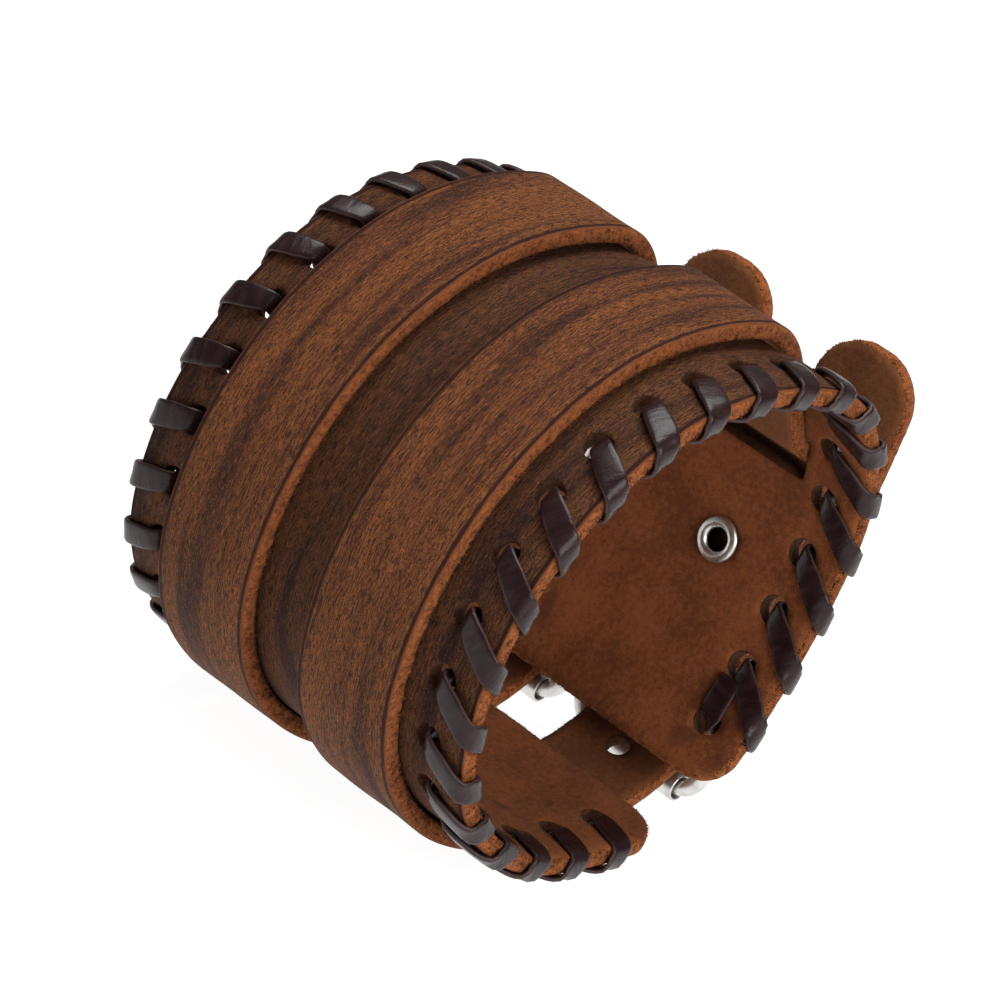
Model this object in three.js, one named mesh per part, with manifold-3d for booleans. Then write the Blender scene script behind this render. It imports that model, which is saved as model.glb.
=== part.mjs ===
// Leather cuff bracelet, fastened: a wide band laced along both rims, held by two belts with roller buckles.
// Millimetres, +Z up, the axis of the wrist along Y. The cuff lies on the flat undersides of its two belts,
// with its buckles low on the right, and the origin is the middle of its footprint.
import * as THREE from "three";
import { mergeVertices } from "three/addons/utils/BufferGeometryUtils.js";
import Module from "manifold-3d";

const wasm = await Module();
wasm.setup();

// Band
const BAND_LENGTH = 162.7; // along the grain face, from end to end
const BAND_THICK = 1.9;
const BAND_CORNER = 4.2;
const BAND_STEP = 2.7; // length of one facet
const MARGIN_NEAR = 7.8; // from the near belt to the near rim
const MARGIN_FAR = 6.2;

// Belts
const STRAP_WIDTH = 11.8;
const STRAP_THICK = 1.8;
const STRAP_SKIVED = 1.1; // thinned where it folds round the buckle
const STRAP_BETWEEN = 7.4; // from one belt to the other
const STRAP_TIP_RADIUS = 5.4;
const STRAP_ARCH = 0.5; // rise over the crown, before the belt dives through the band
const REST_STRETCH = 8.3; // straight underside that the cuff lies on
const TAIL_LENGTH = 11;
const DIVE_LENGTH = 17; // along the band, from one face of it to the other
const EMERGE_LENGTH = 8;
const STRAP_STEP = 2.6;

// Adjusting holes
const HOLE_DIAMETER = 2.4;
const HOLE_PITCH = 6;
const HOLES_BEFORE = 1; // between the one in use and the underside
const HOLES_TO_TIP = 2;

// Lacing
const LACE_WIDTH = 2.6;
const LACE_THICK = 0.6;
const LACE_HOLE = 3.2;
const LACE_HOLES = 24;
const LACE_FIRST = 5.6; // first hole from the left end of the band
const LACE_LAST = 5.8; // last hole from the right end
const LACE_INSET_NEAR = 4.65; // holes from the near rim
const LACE_INSET_FAR = 4.3;
const LACE_SQUARENESS = 8; // exponent of the rounded loop round the rim
const LACE_TUCK = 4; // loose end laid along the inside
const LACE_CLEAR = 0.4; // from the rim to the lace that turns round it

// Buckles
const WIRE = 0.9; // radius of the frame's wire
const FRAME_CORNER = 2.7;
const FRAME_SEAM = 0.2; // the wire's ends meet on the heel bar
const ROLLER = 1.5;
const ROLLER_PLAY = 1; // roller over belt width
const PRONG = 0.65;
const PRONG_OVERHANG = 1.2;

// Rivets
const RIVET_BORE = 1.2;
const RIVET_SHANK = 1.65;
const RIVET_FLANGE = 2.4;
const RIVET_FLANGE_THICK = 0.55;

const GAP = 0.3; // between pieces that touch

const BAND_WIDTH = MARGIN_NEAR + 2 * STRAP_WIDTH + STRAP_BETWEEN + MARGIN_FAR;
const STRAP_SPACING = STRAP_WIDTH + STRAP_BETWEEN;
const STRAP_SHIFT = (MARGIN_NEAR - MARGIN_FAR) / 2;

// Bends of the band from its left end, under the wrist, up the left wall, over the top and down the right wall.
// length is a share of the band, turn is in degrees to the right.
const bandBends = [
  { name: "left end", length: 0.094, turn: 13.7 },
  { name: "lower left", length: 0.12, turn: 38.1 },
  { name: "left wall", length: 0.089, turn: 38.5 },
  { name: "left shoulder", length: 0.255, turn: 86.5 },
  { name: "crown", length: 0.102, turn: 23.4 },
  { name: "right shoulder", length: 0.168, turn: 81.3 },
  { name: "right wall", length: 0.172, turn: 27.3 },
];

// Bends of each belt's free run, from its underside up to its tail. turn is in degrees.
const freeBends = [
  { name: "under the buckle", radius: 18.6, turn: 39.1 },
  { name: "up the wall", radius: 44.6, turn: 47.7 },
];

// Places along the band, as shares of its length from the left end
const STRAP_LEAVES = 0.0615; // here the belt parts from the band and runs straight
const ARCH_STARTS = 0.3224;
const DIVE_STARTS = 0.6423;
const EMERGE_STARTS = 0.7619;
const FOLD_ENDS = 0.8273;
const RIVET_AT = 0.866;
const HEEL_AT = 0.9503;
const ROLLER_AT = 1; // share of the bend under the buckle

// Slant of the lacing over each rim, as the share of the pitch that a stitch gains before it turns inside:
// first at the left end of the band and last at the right end.
const slants = {
  near: { first: 0.75, last: 0.2 },
  far: { first: 0.3, last: 0.25 },
};

const rad = THREE.MathUtils.degToRad;

function bendsBefore(at) {
  let turned = 0;
  let from = 0;
  for (const bend of bandBends) {
    const part = THREE.MathUtils.clamp((at - from) / bend.length, 0, 1);
    turned += part * rad(bend.turn);
    from += bend.length;
  }
  return turned;
}

const START_HEADING = Math.PI + bendsBefore(STRAP_LEAVES);

// A point of the grain face at distance s from the left end, with its heading in the plane of X and Z.
function bandAt(s) {
  let x = 0;
  let z = 0;
  let heading = START_HEADING;
  let left = s;
  bandBends.forEach((bend, row) => {
    const whole = bend.length * BAND_LENGTH;
    const isLast = row === bandBends.length - 1;
    const run = isLast || left < whole ? left : whole;
    const curve = rad(bend.turn) / whole;
    const end = heading - curve * run;
    x += (Math.sin(heading) - Math.sin(end)) / curve;
    z += (Math.cos(end) - Math.cos(heading)) / curve;
    heading = end;
    left -= run;
  });
  return { x, z, heading };
}

const upAt = (heading) => new THREE.Vector3(-Math.sin(heading), 0, Math.cos(heading));
const alongAt = (heading) => new THREE.Vector3(Math.cos(heading), 0, Math.sin(heading));

function overBand(s, lift, y = 0) {
  const { x, z, heading } = bandAt(s);
  return new THREE.Vector3(x, y, z).addScaledVector(upAt(heading), lift);
}

// Geometry and solids

function solidOf(geometry) {
  const bare = geometry.clone();
  bare.deleteAttribute("normal");
  bare.deleteAttribute("uv");
  const merged = mergeVertices(bare, 1e-4);
  return new wasm.Manifold(
    new wasm.Mesh({
      numProp: 3,
      vertProperties: merged.attributes.position.array,
      triVerts: new Uint32Array(merged.index.array),
    }),
  );
}

function geometryOf(solid) {
  const { vertProperties, triVerts } = solid.getMesh();
  const geometry = new THREE.BufferGeometry();
  geometry.setAttribute("position", new THREE.BufferAttribute(vertProperties, 3));
  geometry.setIndex(new THREE.BufferAttribute(triVerts, 1));
  geometry.computeVertexNormals();
  return geometry;
}

// A strip of leather through stations, each with its centre, its face direction up, and its heading along.
function bentStrip(stations) {
  const steps = stations.length - 1;
  const strip = new THREE.BoxGeometry(1, 1, 1, 1, 1, steps);
  const corners = strip.getAttribute("position");
  const across = new THREE.Vector3();
  const point = new THREE.Vector3();
  for (let i = 0; i < corners.count; i++) {
    const station = stations[Math.round((corners.getZ(i) + 0.5) * steps)];
    across.crossVectors(station.up, station.along).normalize();
    point.copy(station.centre);
    point.addScaledVector(across, corners.getX(i) * station.width);
    point.addScaledVector(station.up, corners.getY(i) * station.thick);
    corners.setXYZ(i, point.x, point.y, point.z);
  }
  return strip;
}

function place(geometry, centre, along, up) {
  const across = new THREE.Vector3().crossVectors(up, along);
  const basis = new THREE.Matrix4().makeBasis(along, up, across.negate());
  return geometry.applyMatrix4(basis.setPosition(centre));
}

// A punch of the given radius standing on a face, its axis along up.
function punch(radius, depth, sides, centre, up) {
  const pin = new THREE.CylinderGeometry(radius, radius, depth, sides);
  pin.applyQuaternion(new THREE.Quaternion().setFromUnitVectors(new THREE.Vector3(0, 1, 0), up));
  return solidOf(pin.translate(centre.x, centre.y, centre.z));
}

// What a rounded corner takes off a strip: into points from the end into the strip, inward from its side.
function cornerWaste(radius, depth, corner, into, inward, up) {
  const outline = new THREE.Shape();
  outline.moveTo(-GAP, -GAP);
  outline.lineTo(radius, -GAP);
  outline.lineTo(radius, 0);
  outline.absarc(radius, radius, radius, -Math.PI / 2, -Math.PI, true);
  outline.lineTo(-GAP, radius);
  outline.closePath();
  const waste = new THREE.ExtrudeGeometry(outline, { depth, bevelEnabled: false, curveSegments: 6 });
  waste.translate(0, 0, -depth / 2);
  const isRightHanded = new THREE.Vector3().crossVectors(into, inward).dot(up) > 0;
  const axis = isRightHanded ? up : up.clone().negate();
  return solidOf(waste.applyMatrix4(new THREE.Matrix4().makeBasis(into, inward, axis).setPosition(corner)));
}

// Band

const laceAt = (hole) => {
  const pitch = (BAND_LENGTH - LACE_FIRST - LACE_LAST) / (LACE_HOLES - 1);
  return LACE_FIRST + (hole - 1) * pitch;
};

const rims = [
  { name: "near", side: -1, inset: LACE_INSET_NEAR },
  { name: "far", side: 1, inset: LACE_INSET_FAR },
];

const straps = [
  { name: "near", y: STRAP_SHIFT - STRAP_SPACING / 2 },
  { name: "far", y: STRAP_SHIFT + STRAP_SPACING / 2 },
];

// The slot that a belt needs when it changes from one lift to another within a run along the band.
function slotFor(strap, starts, run, fromLift, toLift) {
  const share = (fromLift + BAND_THICK / 2) / (fromLift - toLift);
  const phase = Math.acos(1 - 2 * share);
  const slope = ((fromLift - toLift) / run) * (Math.PI / 2) * Math.sin(phase);
  const angle = Math.atan(Math.abs(slope));
  const length = (STRAP_THICK + 2 * GAP) / Math.sin(angle) + BAND_THICK / Math.tan(angle) + GAP;
  const s = starts * BAND_LENGTH + (phase / Math.PI) * run;
  const { heading } = bandAt(s);
  const window = new THREE.BoxGeometry(length, 3 * BAND_THICK, STRAP_WIDTH + 2.6 * GAP);
  return solidOf(place(window, overBand(s, -BAND_THICK / 2, strap.y), alongAt(heading), upAt(heading)));
}

function makeBand() {
  const facets = Math.ceil(BAND_LENGTH / BAND_STEP);
  const stations = [];
  for (let i = 0; i <= facets; i++) {
    const s = (i / facets) * BAND_LENGTH;
    const { heading } = bandAt(s);
    stations.push({
      centre: overBand(s, -BAND_THICK / 2),
      up: upAt(heading),
      along: alongAt(heading),
      width: BAND_WIDTH,
      thick: BAND_THICK,
    });
  }
  let band = solidOf(bentStrip(stations));
  const depth = 3 * BAND_THICK;
  for (const rim of rims) {
    for (let hole = 1; hole <= LACE_HOLES; hole++) {
      const s = laceAt(hole);
      const centre = overBand(s, -BAND_THICK / 2, rim.side * (BAND_WIDTH / 2 - rim.inset));
      band = band.subtract(punch(LACE_HOLE / 2, depth, 8, centre, upAt(bandAt(s).heading)));
    }
    for (const end of [0, BAND_LENGTH]) {
      const { heading } = bandAt(end);
      const corner = overBand(end, -BAND_THICK / 2, (rim.side * BAND_WIDTH) / 2);
      const into = alongAt(heading).multiplyScalar(end === 0 ? 1 : -1);
      const inward = new THREE.Vector3(0, -rim.side, 0);
      band = band.subtract(cornerWaste(BAND_CORNER, depth, corner, into, inward, upAt(heading)));
    }
  }
  for (const strap of straps) {
    band = band.subtract(slotFor(strap, DIVE_STARTS, DIVE_LENGTH, ARCHED, INSIDE));
    band = band.subtract(slotFor(strap, EMERGE_STARTS, EMERGE_LENGTH, INSIDE, OVER_FOLD));
    band = band.subtract(rivetPunch(strap));
  }
  return geometryOf(band);
}

// Belts. Each lift is the height of the belt's middle over the grain face of the band.

const SNUG = GAP + STRAP_THICK / 2;
const ARCHED = SNUG + STRAP_ARCH;
const INSIDE = -(BAND_THICK + GAP + STRAP_THICK / 2);
const FOLD_UNDER = GAP + STRAP_SKIVED / 2;
const OVER_FOLD = 2 * GAP + STRAP_SKIVED + STRAP_THICK / 2;
const FOLD_RADIUS = WIRE + GAP + STRAP_SKIVED / 2;
const BAR_LIFT = FOLD_UNDER + FOLD_RADIUS;
const OVER_BAR = BAR_LIFT + FOLD_RADIUS;

const ease = (t) => (1 - Math.cos(Math.PI * THREE.MathUtils.clamp(t, 0, 1))) / 2;
const between = (s, from, to) => ease((s - from) / (to - from));

function strapLift(s) {
  const dive = DIVE_STARTS * BAND_LENGTH;
  const emerge = EMERGE_STARTS * BAND_LENGTH;
  const out = emerge + EMERGE_LENGTH;
  const arch = between(s, ARCH_STARTS * BAND_LENGTH, dive) * STRAP_ARCH;
  const down = between(s, dive, dive + DIVE_LENGTH) * (INSIDE - ARCHED);
  const back = between(s, emerge, out) * (OVER_FOLD - INSIDE);
  const onBar = between(s, RIVET_AT * BAND_LENGTH + RIVET_FLANGE, HEEL_AT * BAND_LENGTH) * (OVER_BAR - OVER_FOLD);
  return SNUG + arch + down + back + onBar;
}

function strapThick(s) {
  const from = RIVET_AT * BAND_LENGTH + RIVET_FLANGE;
  return THREE.MathUtils.lerp(STRAP_THICK, STRAP_SKIVED, between(s, from, HEEL_AT * BAND_LENGTH));
}

const heel = (() => {
  const s = HEEL_AT * BAND_LENGTH;
  return { centre: overBand(s, BAR_LIFT), heading: bandAt(s).heading };
})();

function station(centre, heading, thick) {
  return { centre, heading, up: upAt(heading), along: alongAt(heading), width: STRAP_WIDTH, thick };
}

// The free run of the belt, told backward from where it leaves the band: underside, bends and tail.
function freeRun(distance) {
  const centre = overBand(STRAP_LEAVES * BAND_LENGTH, SNUG);
  centre.x += Math.min(distance, REST_STRETCH);
  let left = Math.max(distance - REST_STRETCH, 0);
  let turned = 0;
  for (const bend of freeBends) {
    const part = Math.min(left / bend.radius, rad(bend.turn));
    centre.x += bend.radius * (Math.sin(turned + part) - Math.sin(turned));
    centre.z += bend.radius * (Math.cos(turned) - Math.cos(turned + part));
    turned += part;
    left -= part * bend.radius;
  }
  centre.x += left * Math.cos(turned);
  centre.z += left * Math.sin(turned);
  return station(centre, turned + Math.PI, STRAP_THICK);
}

const bendLength = (bend) => bend.radius * rad(bend.turn);
const TAIL_STARTS = freeBends.reduce((sum, bend) => sum + bendLength(bend), REST_STRETCH);

function strapStations() {
  const stations = [freeRun(TAIL_STARTS + TAIL_LENGTH), freeRun(TAIL_STARTS)];
  let from = TAIL_STARTS;
  for (const bend of [...freeBends].reverse()) {
    const steps = Math.ceil(bendLength(bend) / STRAP_STEP);
    for (let i = 1; i <= steps; i++) {
      stations.push(freeRun(from - (i / steps) * bendLength(bend)));
    }
    from -= bendLength(bend);
  }
  const leaves = STRAP_LEAVES * BAND_LENGTH;
  const bar = HEEL_AT * BAND_LENGTH;
  const emerge = EMERGE_STARTS * BAND_LENGTH;
  for (let s = leaves; s < bar - STRAP_STEP / 4; ) {
    const ahead = overBand(s + 0.01, strapLift(s + 0.01));
    const behind = overBand(s - 0.01, strapLift(s - 0.01));
    const heading = Math.atan2(ahead.z - behind.z, ahead.x - behind.x);
    stations.push(station(overBand(s, strapLift(s)), s === leaves ? Math.PI : heading, strapThick(s)));
    const isEmerging = s > emerge - STRAP_STEP && s < emerge + EMERGE_LENGTH;
    s += isEmerging ? STRAP_STEP / 2 : STRAP_STEP;
  }
  const foldSteps = 6;
  for (let i = 0; i <= foldSteps; i++) {
    const heading = heel.heading - (i / foldSteps) * Math.PI;
    const centre = heel.centre.clone().addScaledVector(upAt(heading), FOLD_RADIUS);
    stations.push(station(centre, heading, STRAP_SKIVED));
  }
  const back = FOLD_ENDS * BAND_LENGTH;
  const backSteps = Math.ceil((bar - back) / STRAP_STEP);
  for (let i = 1; i <= backSteps; i++) {
    const s = THREE.MathUtils.lerp(bar, back, i / backSteps);
    stations.push(station(overBand(s, FOLD_UNDER), bandAt(s).heading - Math.PI, STRAP_SKIVED));
  }
  return stations;
}

// Buckle. The belt runs inside the roller and over the heel bar.

const rollerStation = freeRun(REST_STRETCH + ROLLER_AT * bendLength(freeBends[0]));
const rollerLift = STRAP_THICK / 2 + GAP + ROLLER;
const rollerCentre = rollerStation.centre.clone().addScaledVector(rollerStation.up, rollerLift);

const prongLine = (() => {
  const reach = rollerCentre.clone().sub(heel.centre);
  const outward = new THREE.Vector3(-reach.z, 0, reach.x).normalize();
  if (outward.dot(rollerStation.up) < 0) outward.negate();
  const over = rollerCentre.clone().addScaledVector(outward, ROLLER + GAP + PRONG);
  const direction = over.clone().sub(heel.centre).normalize();
  return { direction, end: over.addScaledVector(direction, PRONG_OVERHANG) };
})();

// Where along the free run the prong goes through the belt
function prongCrossing() {
  const trials = 400;
  let best = REST_STRETCH;
  let least = Infinity;
  for (let i = 0; i <= trials; i++) {
    const distance = THREE.MathUtils.lerp(REST_STRETCH, TAIL_STARTS, i / trials);
    const offset = freeRun(distance).centre.sub(heel.centre);
    const miss = offset.addScaledVector(prongLine.direction, -offset.dot(prongLine.direction)).length();
    if (miss < least) {
      least = miss;
      best = distance;
    }
  }
  return best;
}

const inUse = prongCrossing();

function frameCurve(y) {
  const reach = rollerCentre.clone().sub(heel.centre);
  const length = reach.length();
  const along = reach.normalize();
  const half = STRAP_WIDTH / 2 + ROLLER_PLAY / 2 + FRAME_CORNER - WIRE;
  const at = (u, v) => heel.centre.clone().addScaledVector(along, u).setY(y + v);
  const curve = new THREE.CurvePath();
  const corner = (a, b, c) => curve.add(new THREE.QuadraticBezierCurve3(a, b, c));
  const line = (a, b) => curve.add(new THREE.LineCurve3(a, b));
  const r = FRAME_CORNER;
  line(at(0, FRAME_SEAM / 2), at(0, half - r));
  corner(at(0, half - r), at(0, half), at(r, half));
  line(at(r, half), at(length - r, half));
  corner(at(length - r, half), at(length, half), at(length, half - r));
  line(at(length, half - r), at(length, r - half));
  corner(at(length, r - half), at(length, -half), at(length - r, -half));
  line(at(length - r, -half), at(r, -half));
  corner(at(r, -half), at(0, -half), at(0, r - half));
  line(at(0, r - half), at(0, -FRAME_SEAM / 2));
  return curve;
}

function roundWire(curve, radius, sides, steps) {
  const section = new THREE.Shape();
  section.absarc(0, 0, radius, 0, 2 * Math.PI, false);
  const settings = { steps, bevelEnabled: false, extrudePath: curve, curveSegments: sides / 2 };
  return new THREE.ExtrudeGeometry(section, settings);
}

function makeRoller(y) {
  const half = (STRAP_WIDTH + ROLLER_PLAY) / 2;
  const bore = WIRE + GAP;
  const profile = [
    new THREE.Vector2(bore, -half),
    new THREE.Vector2(ROLLER, -half),
    new THREE.Vector2(ROLLER, half),
    new THREE.Vector2(bore, half),
    new THREE.Vector2(bore, -half),
  ];
  return new THREE.LatheGeometry(profile, 14).translate(rollerCentre.x, y, rollerCentre.z);
}

function makeProng(y) {
  const ringRadius = WIRE + GAP + PRONG;
  const ring = new THREE.TorusGeometry(ringRadius, PRONG, 8, 16).rotateX(Math.PI / 2);
  ring.translate(heel.centre.x, y, heel.centre.z);
  const start = heel.centre.clone().addScaledVector(prongLine.direction, ringRadius).setY(y);
  const shank = roundWire(new THREE.LineCurve3(start, prongLine.end.clone().setY(y)), PRONG, 8, 1);
  return geometryOf(solidOf(ring).add(solidOf(shank)));
}

// Rivet through the band and both layers of the belt

function rivetPunch(strap) {
  const s = RIVET_AT * BAND_LENGTH;
  const depth = 2 * (OVER_FOLD + STRAP_THICK + BAND_THICK);
  return punch(RIVET_SHANK + GAP, depth, 12, overBand(s, 0, strap.y), upAt(bandAt(s).heading));
}

function makeRivet(y) {
  const top = OVER_FOLD + STRAP_THICK / 2 + GAP / 2;
  const bottom = -(BAND_THICK + GAP / 2);
  const rim = RIVET_FLANGE_THICK;
  const profile = [
    new THREE.Vector2(RIVET_BORE, bottom - rim * 0.4),
    new THREE.Vector2(RIVET_BORE + rim, bottom - rim),
    new THREE.Vector2(RIVET_FLANGE - rim * 0.4, bottom - rim * 0.8),
    new THREE.Vector2(RIVET_FLANGE, bottom),
    new THREE.Vector2(RIVET_SHANK, bottom),
    new THREE.Vector2(RIVET_SHANK, top),
    new THREE.Vector2(RIVET_FLANGE, top),
    new THREE.Vector2(RIVET_FLANGE - rim * 0.4, top + rim * 0.8),
    new THREE.Vector2(RIVET_BORE, top + rim * 0.8),
    new THREE.Vector2(RIVET_BORE, bottom - rim * 0.4),
  ];
  const s = RIVET_AT * BAND_LENGTH;
  const stand = new THREE.Quaternion().setFromUnitVectors(new THREE.Vector3(0, 1, 0), upAt(bandAt(s).heading));
  const foot = overBand(s, 0, y);
  return new THREE.LatheGeometry(profile, 16).applyQuaternion(stand).translate(foot.x, foot.y, foot.z);
}

function makeStrap(strap) {
  const stations = strapStations().map((row) => ({ ...row, centre: row.centre.clone().setY(strap.y) }));
  let belt = solidOf(bentStrip(stations));
  const depth = 4 * STRAP_THICK;
  const tip = stations[0];
  for (const side of [-1, 1]) {
    const corner = tip.centre.clone().setY(strap.y + (side * STRAP_WIDTH) / 2);
    const inward = new THREE.Vector3(0, -side, 0);
    belt = belt.subtract(cornerWaste(STRAP_TIP_RADIUS, depth, corner, tip.along, inward, tip.up));
  }
  for (let hole = -HOLES_BEFORE; hole <= HOLES_TO_TIP; hole++) {
    const { centre, up } = freeRun(inUse + hole * HOLE_PITCH);
    const axis = hole === 0 ? prongLine.direction : up;
    belt = belt.subtract(punch(HOLE_DIAMETER / 2, 2 * STRAP_THICK, 10, centre.setY(strap.y), axis));
  }
  const ringSpace = 2 * (WIRE + 2 * PRONG + 2 * GAP);
  const window = new THREE.BoxGeometry(ringSpace, ringSpace, 2 * (PRONG + GAP));
  const turned = place(window, heel.centre.clone().setY(strap.y), alongAt(heel.heading), upAt(heel.heading));
  return geometryOf(belt.subtract(solidOf(turned)).subtract(rivetPunch(strap)));
}

// Lacing. Each stitch comes out of a hole, goes over the rim and along the inside to the hole before it.

// Angles round the loop, from the middle of one hole out over the rim and back to the next. The lace is clear
// of the hole by the angle HOLE_LEFT_BY, and slants from there.
const HOLE_LEFT_BY = 40;
const stitchAngles = [0, 22, 31, 40, 90, 140, 149, 158, 180, 202, 211, 220, 270, 320, 329, 338];

const LOOP_DEPTH = BAND_THICK / 2 + GAP + LACE_THICK / 2;

function lacePoint(rim, hole, angle, shift) {
  const reach = (rim.inset + LACE_CLEAR + LACE_THICK / 2) / 2;
  const cos = Math.cos(rad(angle));
  const sin = Math.sin(rad(angle));
  const power = LACE_SQUARENESS;
  const size = (Math.abs(cos / reach) ** power + Math.abs(sin / LOOP_DEPTH) ** power) ** (-1 / power);
  const inY = size * cos;
  const inLift = size * sin;
  const y = rim.side * (BAND_WIDTH / 2 - rim.inset + reach - inY);
  const { heading } = bandAt(laceAt(hole) + shift);
  const outY = Math.sign(inY) * Math.abs(inY / reach) ** (power - 1) / reach;
  const outLift = Math.sign(inLift) * Math.abs(inLift / LOOP_DEPTH) ** (power - 1) / LOOP_DEPTH;
  const up = new THREE.Vector3(0, -rim.side * outY, 0).addScaledVector(upAt(heading), outLift).normalize();
  return { centre: overBand(laceAt(hole) + shift, inLift - BAND_THICK / 2, y), up };
}

// How far along the band a stitch has come at an angle of its loop
function stitchShift(rim, hole, angle) {
  const pitch = laceAt(2) - laceAt(1);
  const { first, last } = slants[rim.name];
  const slant = THREE.MathUtils.lerp(first, last, (hole - 1) / (LACE_HOLES - 1));
  const out = THREE.MathUtils.clamp((angle - HOLE_LEFT_BY) / (180 - HOLE_LEFT_BY), 0, 1);
  const back = THREE.MathUtils.clamp((angle - 180) / (180 - HOLE_LEFT_BY), 0, 1);
  return -pitch * (slant * out + (1 - slant) * back);
}

// The loose end comes along the inside of the band and turns up through the last hole. back is a share of the
// tuck, drop a share of the loop's depth, and the rest tell which way its face looks.
const looseEnd = [
  { back: 1, drop: 1, inside: 1, ahead: 0, inward: 0 },
  { back: 0.4, drop: 1, inside: 1, ahead: 0.2, inward: 0 },
  { back: 0.08, drop: 0.75, inside: 0.5, ahead: 1, inward: 0 },
  { back: 0, drop: 0.4, inside: 0, ahead: 1, inward: 1 },
];

function looseEndPoint(rim, { back, drop, inside, ahead, inward }) {
  const s = laceAt(LACE_HOLES) - back * LACE_TUCK;
  const { heading } = bandAt(s);
  const up = new THREE.Vector3(0, -rim.side * inward, 0);
  up.addScaledVector(upAt(heading), -inside).addScaledVector(alongAt(heading), ahead).normalize();
  const y = rim.side * (BAND_WIDTH / 2 - rim.inset);
  return { centre: overBand(s, -BAND_THICK / 2 - drop * LOOP_DEPTH, y), up };
}

function makeLace(rim) {
  const points = looseEnd.map((row) => looseEndPoint(rim, row));
  for (let hole = LACE_HOLES; hole > 1; hole--) {
    for (const angle of stitchAngles) {
      points.push(lacePoint(rim, hole, angle, stitchShift(rim, hole, angle)));
    }
  }
  for (const angle of stitchAngles.filter((a) => a <= 90)) {
    points.push(lacePoint(rim, 1, angle, 0));
  }
  const last = points.length - 1;
  return bentStrip(
    points.map(({ centre, up }, i) => {
      const along = points[Math.min(i + 1, last)].centre.clone().sub(points[Math.max(i - 1, 0)].centre);
      along.normalize();
      const face = up.clone().addScaledVector(along, -up.dot(along)).normalize();
      return { centre, up: face, along, width: LACE_WIDTH, thick: LACE_THICK };
    }),
  );
}

// Assembly

const leather = (color) => new THREE.MeshStandardMaterial({ color, roughness: 0.7, metalness: 0 });
const nickel = new THREE.MeshStandardMaterial({ color: 0xb9b6b0, roughness: 0.3, metalness: 1 });
const bandLeather = leather(0x5f3a22);
const beltLeather = leather(0x74482a);
const laceLeather = new THREE.MeshStandardMaterial({ color: 0x2b1c1b, roughness: 0.35, metalness: 0 });

const cuff = new THREE.Group();

function addPiece(name, geometry, material) {
  const mesh = new THREE.Mesh(geometry, material);
  mesh.name = name;
  cuff.add(mesh);
}

addPiece("band", makeBand(), bandLeather);
for (const strap of straps) {
  const frame = roundWire(frameCurve(strap.y), WIRE, 8, 52);
  addPiece("strap_" + strap.name, makeStrap(strap), beltLeather);
  addPiece("buckle_frame_" + strap.name, frame, nickel);
  addPiece("buckle_roller_" + strap.name, makeRoller(strap.y), nickel);
  addPiece("buckle_prong_" + strap.name, makeProng(strap.y), nickel);
  addPiece("rivet_" + strap.name, makeRivet(strap.y), nickel);
}
for (const rim of rims) {
  addPiece("lace_" + rim.name, makeLace(rim), laceLeather);
}

const extent = new THREE.Box3().setFromObject(cuff);
cuff.position.set(-(extent.min.x + extent.max.x) / 2, -(extent.min.y + extent.max.y) / 2, -extent.min.z);

export default cuff;
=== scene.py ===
"""Leather cuff bracelet: a wide band laced along both rims, with two riveted belts and roller buckles."""

import math
import random

import bpy
import numpy as np
from mathutils import Matrix, Vector, geometry, kdtree, noise


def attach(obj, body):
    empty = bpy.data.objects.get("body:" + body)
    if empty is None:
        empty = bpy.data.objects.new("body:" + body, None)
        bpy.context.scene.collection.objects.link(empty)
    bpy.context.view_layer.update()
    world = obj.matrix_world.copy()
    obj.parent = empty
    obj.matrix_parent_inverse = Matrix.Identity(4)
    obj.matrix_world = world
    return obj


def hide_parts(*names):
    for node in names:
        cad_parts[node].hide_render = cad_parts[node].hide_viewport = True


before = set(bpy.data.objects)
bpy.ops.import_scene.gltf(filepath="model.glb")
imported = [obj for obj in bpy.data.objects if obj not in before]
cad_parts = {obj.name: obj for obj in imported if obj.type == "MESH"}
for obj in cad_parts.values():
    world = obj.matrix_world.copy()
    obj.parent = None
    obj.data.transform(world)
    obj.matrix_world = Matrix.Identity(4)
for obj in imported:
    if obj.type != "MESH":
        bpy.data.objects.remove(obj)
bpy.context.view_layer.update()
MM = 0.001

# Sizes in millimetres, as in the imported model
LEFT_END = (6.930, -0.034, 2.881)  # left end of the band, on its grain face
BAND_LENGTH = 162.7
BAND_WIDTH = 45.0
BAND_THICK = 1.9
BAND_CORNER = 4.2
STRAP_WIDTH = 11.8
STRAP_THICK = 1.8
STRAP_SKIVED = 1.1
STRAP_Y = {"near": -8.8, "far": 10.4}
STRAP_TIP_RADIUS = 5.4
STRAP_ARCH = 0.5
REST_STRETCH = 8.3
TAIL_LENGTH = 11.0
DIVE_LENGTH = 17.0
EMERGE_LENGTH = 8.0
HOLE_RADIUS = 1.2
HOLE_PITCH = 6.0
HOLES_FROM_USED = (-1, 0, 1, 2)
WIRE = 0.9
FRAME_CORNER = 2.7
FRAME_SEAM = 0.1
FRAME_STEP = 1.2
ROLLER = 1.5
ROLLER_PLAY = 1.0
PRONG = 0.65
PRONG_OVERHANG = 1.2
RIVET_BORE = 1.2
RIVET_SHANK = 1.65
RIVET_FLANGE = 2.4
RIVET_FLANGE_THICK = 0.55
GAP = 0.3

# Bends of the band: share of its length and turn in degrees; bends of a belt's free run: radius and turn
BENDS = (
    (0.094, 13.7), (0.12, 38.1), (0.089, 38.5), (0.255, 86.5), (0.102, 23.4), (0.168, 81.3), (0.172, 27.3),
)
FREE_BENDS = ((18.6, 39.1), (44.6, 47.7))

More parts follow.
